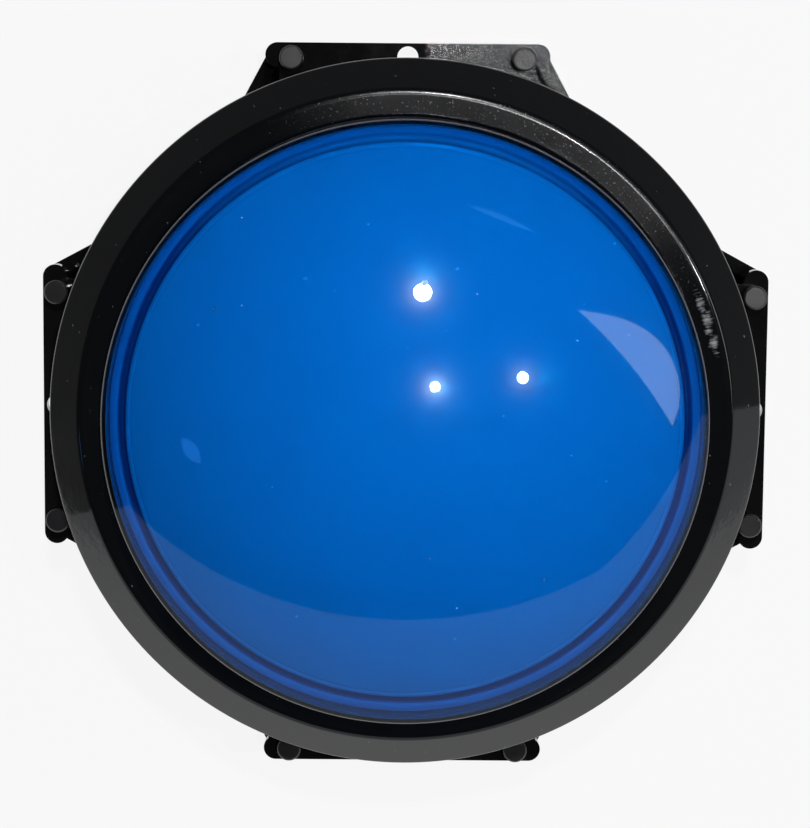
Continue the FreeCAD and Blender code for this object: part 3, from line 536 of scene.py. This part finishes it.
def make_bezel():
    """Half section with rounded ridge, lip and edges, turned once; the outer slope is a very flat arc."""
    low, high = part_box("bezel_ring")
    radius = high.x
    ridge = (radius - BEZEL_SLOPE_RUN, high.z)
    lip = ridge[0] - BEZEL_LIP_RUN
    barrel = radius - PANEL_OVERLAP
    inner = barrel - BARREL_WALL
    seat = inner - SEAT_RING_WIDTH
    seat_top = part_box("bump_stops")[0].z
    run = BEZEL_SLOPE_RADIUS * math.sin(BEZEL_SLOPE_ANGLE)
    first = math.asin((ridge[0] - radius + run) / BEZEL_SLOPE_RADIUS)
    centre_reach = ridge[0] - BEZEL_SLOPE_RADIUS * math.sin(first)
    centre_height = ridge[1] - BEZEL_SLOPE_RADIUS * math.cos(first)
    edge_top = centre_height + BEZEL_SLOPE_RADIUS * math.cos(BEZEL_SLOPE_ANGLE)
    edge_foot = edge_top - BEZEL_EDGE
    lip_top = ridge[1] - BEZEL_LIP_DROP
    pocket = lip_top - BEZEL_LIP_THICK
    margin = BEZEL_SLOPE_MARGIN * (BEZEL_SLOPE_ANGLE - first)
    slope = arc((centre_reach, centre_height), BEZEL_SLOPE_RADIUS, first + margin,
                BEZEL_SLOPE_ANGLE - margin, BEZEL_SLOPE_STEPS)
    corners = [ridge, *slope, (radius, edge_top), (radius, edge_foot), (barrel, edge_foot), (barrel, low.z)]
    radii = [BEZEL_RIDGE_ROUND] + [0.0] * len(slope)
    radii += [BEZEL_RIM_ROUND, BEZEL_UNDER_ROUND, BEZEL_INNER_ROUND, BARREL_FOOT_ROUND]
    inside = [(seat, low.z), (seat, seat_top), (inner, seat_top), (inner, pocket), (lip, pocket)]
    corners += inside + [(lip, lip_top)]
    radii += [BEZEL_INNER_ROUND] * len(inside) + [BEZEL_RIM_ROUND]
    piece = turned_ring("bezel", rounded(corners, radii, BEZEL_ROUND_STEPS))
    keep_flats(piece)
    dress(piece, FINISHES["bezel_black"], "bezel_ring")


LENS_CAP = 0.148
LENS_SHOULDER = 0.0016
LENS_INNER_SHOULDER = 0.0012
LENS_WALL = 0.0018
LENS_CAP_STEPS = 48
LENS_SKIRT_STEPS = 6


def dome_section(radius, top, cap, shoulder, bottom):
    """Half section of a dome: cap arc, shoulder arc that runs on from it, and straight skirt."""
    lean = math.asin((radius - shoulder) / (cap - shoulder))
    cap_centre = (0.0, top - cap)
    shoulder_centre = (radius - shoulder, top - cap + (cap - shoulder) * math.cos(lean))
    parts = [arc(cap_centre, cap, 0.0, lean, LENS_CAP_STEPS)]
    parts.append(arc(shoulder_centre, shoulder, lean, 0.5 * math.pi, LENS_CAP_STEPS // 2)[1:])
    skirt = np.linspace(shoulder_centre[1], bottom, LENS_SKIRT_STEPS)[1:]
    parts.append(np.stack([np.full_like(skirt, radius), skirt], 1))
    return np.concatenate(parts)


def make_lens():
    """Dome of one wall: outer half section down, inner one back up."""
    low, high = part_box("dome_lens")
    outer = dome_section(high.x, high.z, LENS_CAP, LENS_SHOULDER, low.z)
    inner = dome_section(high.x - LENS_WALL, high.z - LENS_WALL, LENS_CAP - LENS_WALL, LENS_INNER_SHOULDER,
                         low.z)
    piece = turned_shell("lens", np.concatenate([outer, inner[::-1]]))
    keep_flats(piece)
    dress(piece, FINISHES["lens_blue"], "dome_lens")


DIFFUSER_DOME = 0.1382
DIFFUSER_WALL = 0.002
DIFFUSER_INSET = 0.00625
DIFFUSER_BASE_WIDTH = 0.009
DIFFUSER_BASE_THICK = 0.006
DIFFUSER_STEPS = 40
BEAD_HEIGHT = 0.00018
BEAD_WIDTH = 0.0003
BEAD_STEPS = 60
LEDGE_GAP = 0.0001
LEDGE_DROP = 0.0027
LEDGE_THICK = 0.002
TROUGH_WIDTH = 0.0016
TROUGH_DEPTH = 0.0015

# Shares of the diffuser's radius between which the bead's fine rows lie
BEAD_FIRST = 0.93
BEAD_LAST = 0.994

# Distances of bead and groove from the diffuser's edge, in bead widths
BEAD_INSET = 2.0
GROOVE_INSET = 5.0


def make_diffuser():
    """Inner dome with bead and groove as bell curves by its edge, then ledge with a trough, and base ring."""
    low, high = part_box("diffuser")
    lens_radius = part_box("dome_lens")[1].x
    ledge_radius = lens_radius - LENS_WALL - LEDGE_GAP
    radius = lens_radius - DIFFUSER_INSET
    centre = high.z - DIFFUSER_DOME
    plain_rows = np.linspace(0.0, BEAD_FIRST, DIFFUSER_STEPS)[:-1]
    bead_rows = np.linspace(BEAD_FIRST, BEAD_LAST, BEAD_STEPS)
    reach = np.concatenate([plain_rows, bead_rows]) * radius
    height = centre + np.sqrt(DIFFUSER_DOME ** 2 - reach ** 2)
    bead = radius - BEAD_INSET * BEAD_WIDTH
    groove = radius - GROOVE_INSET * BEAD_WIDTH
    height += BEAD_HEIGHT * np.exp(-((reach - bead) / BEAD_WIDTH) ** 2)
    height -= BEAD_HEIGHT * np.exp(-((reach - groove) / BEAD_WIDTH) ** 2)
    top = np.stack([reach, height], 1)
    inner_radius = radius - DIFFUSER_WALL
    inner_dome = DIFFUSER_DOME - DIFFUSER_WALL
    base_inner = radius - DIFFUSER_BASE_WIDTH
    base_top = low.z + DIFFUSER_BASE_THICK
    edge = centre + math.sqrt(DIFFUSER_DOME ** 2 - radius ** 2)
    ledge = edge - LEDGE_DROP
    ledge_foot = ledge - LEDGE_THICK
    trough = radius + TROUGH_WIDTH
    trough_foot = ledge - TROUGH_DEPTH
    wall = [(radius, edge - BEAD_WIDTH), (radius, trough_foot), (trough, trough_foot), (trough, ledge)]
    wall += [(ledge_radius, ledge), (ledge_radius, ledge_foot), (radius, ledge_foot), (radius, low.z)]
    wall += [(base_inner, low.z), (base_inner, base_top), (inner_radius, base_top)]
    lean = math.asin(inner_radius / inner_dome)
    inside = arc((0.0, centre), inner_dome, lean, 0.0, DIFFUSER_STEPS)
    piece = turned_shell("diffuser_dome", np.concatenate([top, np.array(wall), inside]))
    keep_flats(piece)
    dress(piece, FINISHES["diffuser_white"], "diffuser")


# Springs and screws

SPRING_COUNT = 4
SPRING_TURNS = 7.0
SPRING_STEPS = 28
SPRING_WIRE = 0.0007
WIRE_SIDES = 12


def tube_points(path, radial, wire, sides):
    """Round wire: path point plus wire times the cosine along the radial and the sine along its partner."""
    ahead = np.gradient(path, axis=0)
    ahead /= np.linalg.norm(ahead, axis=1, keepdims=True)
    radial = radial - (radial * ahead).sum(1, keepdims=True) * ahead
    radial /= np.linalg.norm(radial, axis=1, keepdims=True)
    partner = np.cross(ahead, radial)
    angle = np.linspace(0.0, 2.0 * np.pi, sides, endpoint=False)
    return path[:, None] + wire * (np.cos(angle)[None, :, None] * radial[:, None]
                                   + np.sin(angle)[None, :, None] * partner[:, None])


def make_spring(number):
    """Coil with closed ends: a circle that climbs one wire's width in each end turn and evenly between."""
    node = f"return_spring_{number}"
    low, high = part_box(node)
    centre_x, centre_y = 0.5 * (low.x + high.x), 0.5 * (low.y + high.y)
    radius = 0.5 * (high.x - low.x) - SPRING_WIRE
    turn = np.linspace(0.0, SPRING_TURNS, int(SPRING_TURNS) * SPRING_STEPS + 1)
    length = high.z - low.z
    climb = np.interp(turn, [0.0, 1.0, SPRING_TURNS - 1.0, SPRING_TURNS],
                      [SPRING_WIRE, 3.0 * SPRING_WIRE, length - 3.0 * SPRING_WIRE, length - SPRING_WIRE])
    angle = 2.0 * np.pi * turn
    outward = np.stack([np.cos(angle), np.sin(angle), np.zeros_like(angle)], 1)
    foot = np.array([centre_x, centre_y, low.z])
    path = foot + radius * outward + climb[:, None] * np.array([0.0, 0.0, 1.0])
    rings = tube_points(path, outward, SPRING_WIRE, WIRE_SIDES)
    count = len(rings) * WIRE_SIDES
    points = np.concatenate([rings.reshape(-1, 3), path[:1], path[-1:]])
    faces = [face[::-1] for face in grid_faces(len(rings), WIRE_SIDES, False)]
    faces += fan_faces(0, WIRE_SIDES, count, False)
    faces += fan_faces(count - WIRE_SIDES, WIRE_SIDES, count + 1, True)
    piece = new_piece(f"spring_coil_{number}", points, faces)
    dress(piece, FINISHES["spring_steel"], node)
    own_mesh(piece)


SCREW_COLUMNS = 48
THREAD_PITCH = 0.001
THREAD_ROWS = 6
THREAD_DEPTH = 0.0003
HEAD_ROWS = 14

# Shares of a screw head's radius: its flat, and the recess's arms, half width and edge
HEAD_FLAT = 0.92
RECESS_ARM = 0.62
RECESS_WIDTH = 0.15
RECESS_EDGE = 0.10

# Shares of a screw head's height, and of the shank's radius
RECESS_DEPTH = 0.6
HEAD_RIM = 0.88
TIP_WIDTH = 0.3


def smooth_step(value):
    """0 below 0, 1 above 1, and an S curve between."""
    value = np.clip(value, 0.0, 1.0)
    return value * value * (3.0 - 2.0 * value)


def screw_grid(shank, length, head, head_height):
    """Screw about its own axis: flat head with a cross recess, then a helical thread and a cone tip.

    The radius in the thread is the shank's less a triangle wave of the height and the turn angle.
    """
    angle = np.linspace(0.0, 2.0 * np.pi, SCREW_COLUMNS, endpoint=False)[None, :]
    across = np.linspace(0.0, HEAD_FLAT, HEAD_ROWS)[1:, None] * head
    x, y = across * np.cos(angle), across * np.sin(angle)
    arm, slot, edge = RECESS_ARM * head, RECESS_WIDTH * head, RECESS_EDGE * head
    along_x = smooth_step((arm - abs(x)) / edge) * smooth_step((slot - abs(y)) / edge + 1.0)
    along_y = smooth_step((arm - abs(y)) / edge) * smooth_step((slot - abs(x)) / edge + 1.0)
    recess = RECESS_DEPTH * head_height * np.maximum(along_x, along_y)
    top_rows = np.stack([x, y, head_height - recess], -1)
    rim = np.array([(head, HEAD_RIM * head_height), (head, 0.0), (shank, 0.0)])
    rows = int(length / THREAD_PITCH * THREAD_ROWS)
    depth = np.linspace(0.0, length - THREAD_PITCH, rows)[1:, None]
    wave = abs((depth / THREAD_PITCH + angle / (2.0 * np.pi)) % 1.0 - 0.5) * 2.0
    radius = shank - THREAD_DEPTH * wave
    thread = np.stack([radius * np.cos(angle), radius * np.sin(angle), -depth * np.ones_like(angle)], -1)
    tip = turned_grid(np.array([(TIP_WIDTH * shank, -length)]), SCREW_COLUMNS)
    return np.concatenate([top_rows, turned_grid(rim, SCREW_COLUMNS), thread, tip])


def make_screws(node, spots, head_way, shank, head, head_height):
    """One piece with a screw at each spot, its head looking along head_way and its length the solid's."""
    axis = Vector(head_way)
    side = Vector((1.0, 0.0, 0.0))
    axes = np.array([side, axis.cross(side), axis])
    low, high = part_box(node)
    length = abs((high - low).dot(axis)) - head_height
    grid = screw_grid(shank, length, head, head_height)
    rows = len(grid)
    count = rows * SCREW_COLUMNS
    own = np.concatenate([grid.reshape(-1, 3), [[0.0, 0.0, grid[0, 0, 2]], [0.0, 0.0, -length]]])
    points, faces = [], []
    for spot in spots:
        start = len(points) * (count + 2)
        points.append(own @ axes + np.asarray(spot))
        faces += grid_faces(rows, SCREW_COLUMNS, False, start)
        faces += fan_faces(start, SCREW_COLUMNS, start + count, True)
        faces += fan_faces(start + count - SCREW_COLUMNS, SCREW_COLUMNS, start + count + 1, False)
    piece = new_piece(f"{node}_cut", np.concatenate(points), faces)
    dress(piece, FINISHES["steel"], node)


def ring_spots(reach, height, count, first=0.0):
    """Places spread evenly on a ring."""
    angle = first + 2.0 * np.pi * np.arange(count) / count
    return np.stack([reach * np.cos(angle), reach * np.sin(angle), np.full(count, height)], 1)


SCREW = {"shank": 0.00145, "head": 0.0028, "head_height": 0.002}
COVER_SCREW = {"shank": 0.0012, "head": 0.0022, "head_height": 0.002}
RING_SCREWS = {"bezel_screws": 8, "diffuser_screws": 6}
BOARD_SCREW_COUNT = 4
PEG_OFFSET = 0.033
DOWN = (0.0, 0.0, -1.0)
UP = (0.0, 0.0, 1.0)
BACK_TO_FRONT = (0.0, 1.0, 0.0)


def make_all_screws():
    """Every screw at its place, with recess and thread."""
    low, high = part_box("cover_screws")
    reach, seat = high.x - COVER_SCREW["head"], low.z + COVER_SCREW["head_height"]
    pegs = []
    for side in (-reach, reach):
        for offset in (-PEG_OFFSET, PEG_OFFSET):
            pegs += [(side, offset, seat), (offset, side, seat)]
    make_screws("cover_screws", pegs, DOWN, **COVER_SCREW)
    for node, count in RING_SCREWS.items():
        low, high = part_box(node)
        spots = ring_spots(high.x - SCREW["head"], low.z + SCREW["head_height"], count)
        make_screws(node, spots, DOWN, **SCREW)
    low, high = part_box("board_screws")
    reach = (high.x - SCREW["head"]) * math.sqrt(2.0)
    spots = ring_spots(reach, high.z - SCREW["head_height"], BOARD_SCREW_COUNT, 0.25 * math.pi)
    make_screws("board_screws", spots, UP, **SCREW)
    low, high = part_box("switch_screws")
    span, level, front = high.x - SCREW["head"], 0.5 * (low.z + high.z), high.y - SCREW["head_height"]
    make_screws("switch_screws", [(-span, front, level), (span, front, level)], BACK_TO_FRONT, **SCREW)


make_bezel()
make_lens()
make_diffuser()
for spring in range(1, SPRING_COUNT + 1):
    make_spring(spring)
make_all_screws()

# Solids whose edges are rounded, each with its edge width
SOFT_EDGES = {
    "flange_housing": 0.0004,
    "rear_cover": 0.0004,
    "cover_frame": 0.0003,
    "cover_mounts": 0.0003,
    "plunger_frame": 0.0003,
    "seal_ring": 0.0002,
    "bump_stops": 0.0004,
    "guide_pins": 0.0004,
    "guide_bushes": 0.0001,
    "led_board": 0.0001,
    "leds": 0.0002,
    "led_resistors": 0.0001,
    "led_connector": 0.0002,
    "switch_case": 0.0002,
    "switch_button": 0.0002,
    "switch_terminals": 0.00015,
    "switch_lever": 0.0001,
}
for solid, edge_width in SOFT_EDGES.items():
    dress(softened(solid, edge_width), FINISHES[node_slot[solid]], solid)

for name, solid in frame["nodes"].items():
    for entry in solid.material_slots:
        entry.material = FINISHES[node_slot[name]]


# Floor, light and camera

FLOOR_SIZE = 12.0
FLOOR_GAP = 0.0003
FLOOR_TONE = (0.86, 0.86, 0.86)
FLOOR_WHITENESS = 0.88


def make_floor():
    """Pale floor, white to the eye and in reflections, that keeps the shadow and is clear from below."""
    level = cad_box[0].z - FLOOR_GAP
    half = 0.5 * FLOOR_SIZE
    points = [(-half, -half, level), (half, -half, level), (half, half, level), (-half, half, level)]
    floor = new_piece("floor", points, [(0, 1, 2, 3)])
    finish = Finish("floor_pale", Roughness=0.9)
    finish.colour(FLOOR_TONE)
    path = finish.node("ShaderNodeLightPath")
    seen = finish.math("ADD", path.outputs["Is Camera Ray"], path.outputs["Is Glossy Ray"])
    seen = finish.math("ADD", seen, path.outputs["Is Transmission Ray"])
    share = finish.math("MULTIPLY", finish.math("MINIMUM", seen, 1.0), FLOOR_WHITENESS)
    white = finish.node("ShaderNodeEmission").outputs["Emission"]
    clear = finish.node("ShaderNodeBsdfTransparent").outputs["BSDF"]
    below = finish.node("ShaderNodeNewGeometry").outputs["Backfacing"]
    finish.surface(finish.mix(below, finish.mix(share, finish.shader.outputs["BSDF"], white), clear))
    floor.data.materials.append(finish.material)


ROOM_LIGHT = 0.012
HORIZON_LIGHT = 0.14
HORIZON_RISE = 0.35


def make_world():
    """Dim room light that grows paler towards the horizon."""
    world = bpy.data.worlds.new("room")
    bpy.context.scene.world = world
    world.use_nodes = True
    tree = world.node_tree
    place = tree.nodes.new("ShaderNodeTexCoord")
    split = tree.nodes.new("ShaderNodeSeparateXYZ")
    tree.links.new(place.outputs["Generated"], split.inputs[0])
    level = tree.nodes.new("ShaderNodeMapRange")
    for socket, value in zip(level.inputs[1:5], (0.0, HORIZON_RISE, HORIZON_LIGHT, ROOM_LIGHT)):
        socket.default_value = value
    tree.links.new(split.outputs["Z"], level.inputs[0])
    shade = tree.nodes["Background"]
    shade.inputs["Color"].default_value = (1.0, 1.0, 1.0, 1.0)
    tree.links.new(level.outputs[0], shade.inputs["Strength"])


def add_light(name, place, aim, size, radiance, colour=(1.0, 1.0, 1.0), disc=False):
    """Area lamp of a given radiance: its power is radiance times pi times its area."""
    light = bpy.data.lights.new(name, "AREA")
    light.shape = "DISK" if disc else "RECTANGLE"
    light.size, light.size_y = size
    area = size[0] * size[1] * (0.25 * math.pi if disc else 1.0)
    light.energy = radiance * math.pi * area
    light.color = colour
    lamp = bpy.data.objects.new(name, light)
    lamp.location = place
    lamp.rotation_mode = "QUATERNION"
    lamp.rotation_quaternion = (Vector(aim) - Vector(place)).to_track_quat("-Z", "Y")
    lamp.visible_camera = False
    bpy.context.scene.collection.objects.link(lamp)


# Ceiling lamps: lean to the right and lean upwards from the axis in degrees, width and radiance
CEILING_LAMPS = {
    "ceiling_lamp_large": (4.2, 25.9, 0.16, 195.0),
    "ceiling_lamp_middle": (6.8, 4.5, 0.085, 560.0),
    "ceiling_lamp_small": (27.0, 6.8, 0.10, 205.0),
}
LAMP_DISTANCE = 2.25
LAMP_AIM = (0.0, 0.0, 0.04)

# Pale walls: centre, the point they face, length and height
PALE_WALLS = {
    "pale_wall": ((-0.86, -1.47, 0.6), (-0.86, 0.0, 0.6), (5.08, 1.2)),
    "wall_return": ((2.75, -0.88, 0.6), (1.88, 0.72, 0.6), (2.44, 1.2)),
}
WALL_RADIANCE = 0.42
WALL_COLOUR = (0.90, 0.97, 1.0)


def make_lights():
    """Three round ceiling lamps, and a pale wall before the button with its return."""
    for name, (across, upward, width, radiance) in CEILING_LAMPS.items():
        lean = Vector((math.tan(math.radians(across)), math.tan(math.radians(upward)), 1.0))
        add_light(name, lean.normalized() * LAMP_DISTANCE, LAMP_AIM, (width, width), radiance, disc=True)
    for name, (place, aim, size) in PALE_WALLS.items():
        add_light(name, place, aim, size, WALL_RADIANCE, WALL_COLOUR)


def add_glow(name, upper, lower, radiance, colour):
    """Bright sheet between two edges, which only reflections show."""
    points = np.stack([upper, lower], 1)
    first = 2 * np.arange(len(points) - 1)[:, None]
    sheet = new_piece(name, points, (first + np.array([0, 2, 3, 1])).tolist())
    finish = Finish(f"{name}_glow")
    finish.colour((0.0, 0.0, 0.0))
    finish.shader.inputs["Emission Color"].default_value = opaque(colour)
    finish.shader.inputs["Emission Strength"].default_value = radiance
    sheet.data.materials.append(finish.material)
    sheet.visible_camera = False


SHEET_STEPS = 32
WINDOW_PLANE = 1.5
WINDOW_FOOT = np.array([-0.17, 0.73])
WINDOW_HEAD = np.array([0.80, 1.66])
WINDOW_BOW = 0.29
WINDOW_SKEW = 0.6
WINDOW_RADIANCE = 2.4
WINDOW_COLOUR = (0.95, 0.97, 1.0)


def make_window():
    """Bright half-moon on the right: a straight upper edge, and below it an edge bowed by a skewed sine."""
    chord = WINDOW_HEAD - WINDOW_FOOT
    across = np.array([chord[1], -chord[0]]) / np.linalg.norm(chord)
    share = np.linspace(0.0, 1.0, SHEET_STEPS)[:, None]
    upper = WINDOW_FOOT + share * chord
    lower = upper + WINDOW_BOW * np.sin(np.pi * share ** WINDOW_SKEW) * across
    plane = np.full(SHEET_STEPS, WINDOW_PLANE)
    upper = np.column_stack([plane, upper])
    lower = np.column_stack([plane, lower])
    add_glow("window", upper, lower, WINDOW_RADIANCE, WINDOW_COLOUR)


# Faint gleams: first end, last end, greatest width, radiance and colour
GLEAMS = {
    "left_gleam": ((-1.635, -0.302, 1.251), (-1.503, -0.496, 1.348), 0.13, 2.2, (0.07, 0.37, 1.0)),
    "upper_gleam": ((0.447, 1.497, 1.378), (0.982, 1.265, 1.333), 0.05, 1.5, (0.15, 0.57, 1.0)),
}


def make_gleam(name, first, last, width, radiance, colour):
    """Dim sheet between two points of the room, its width swelling as a sine."""
    first, last = np.array(first), np.array(last)
    across = np.cross(last - first, first + last)
    across *= 0.5 * width / np.linalg.norm(across)
    share = np.linspace(0.0, 1.0, SHEET_STEPS)[:, None]
    middle = first + share * (last - first)
    swell = np.sin(np.pi * share) * across
    add_glow(name, middle - swell, middle + swell, radiance, colour)


# Camera of the photograph: its eye, the point it aims at, its roll and its focal length in pixels
PHOTO_LONG_SIDE = 828.0
FOCAL_PIXELS = 2566.0
SENSOR_WIDTH = 36.0
CAMERA_EYE = Vector((-0.0026, 0.0862, 0.7377))
CAMERA_AIM = Vector((0.0, 0.0005, 0.020))
CAMERA_ROLL = math.radians(0.5)


def make_camera():
    """Camera at the photograph's eye, aim, roll and focal length."""
    data = bpy.data.cameras.new("camera")
    data.sensor_width = SENSOR_WIDTH
    data.lens = SENSOR_WIDTH * FOCAL_PIXELS / PHOTO_LONG_SIDE
    camera = bpy.data.objects.new("camera", data)
    back = (CAMERA_EYE - CAMERA_AIM).normalized()
    right = Vector((0.0, 1.0, 0.0)).cross(back).normalized()
    upward = back.cross(right)
    turn = Matrix.Rotation(CAMERA_ROLL, 3, back)
    right, upward = turn @ right, turn @ upward
    axes = Matrix((right, upward, back)).transposed()
    camera.matrix_world = Matrix.Translation(CAMERA_EYE) @ axes.to_4x4()
    bpy.context.scene.collection.objects.link(camera)
    bpy.context.scene.camera = camera


make_floor()
make_world()
make_lights()
make_window()
for gleam, row in GLEAMS.items():
    make_gleam(gleam, *row)
make_camera()
bpy.context.scene.view_settings.view_transform = "Standard"
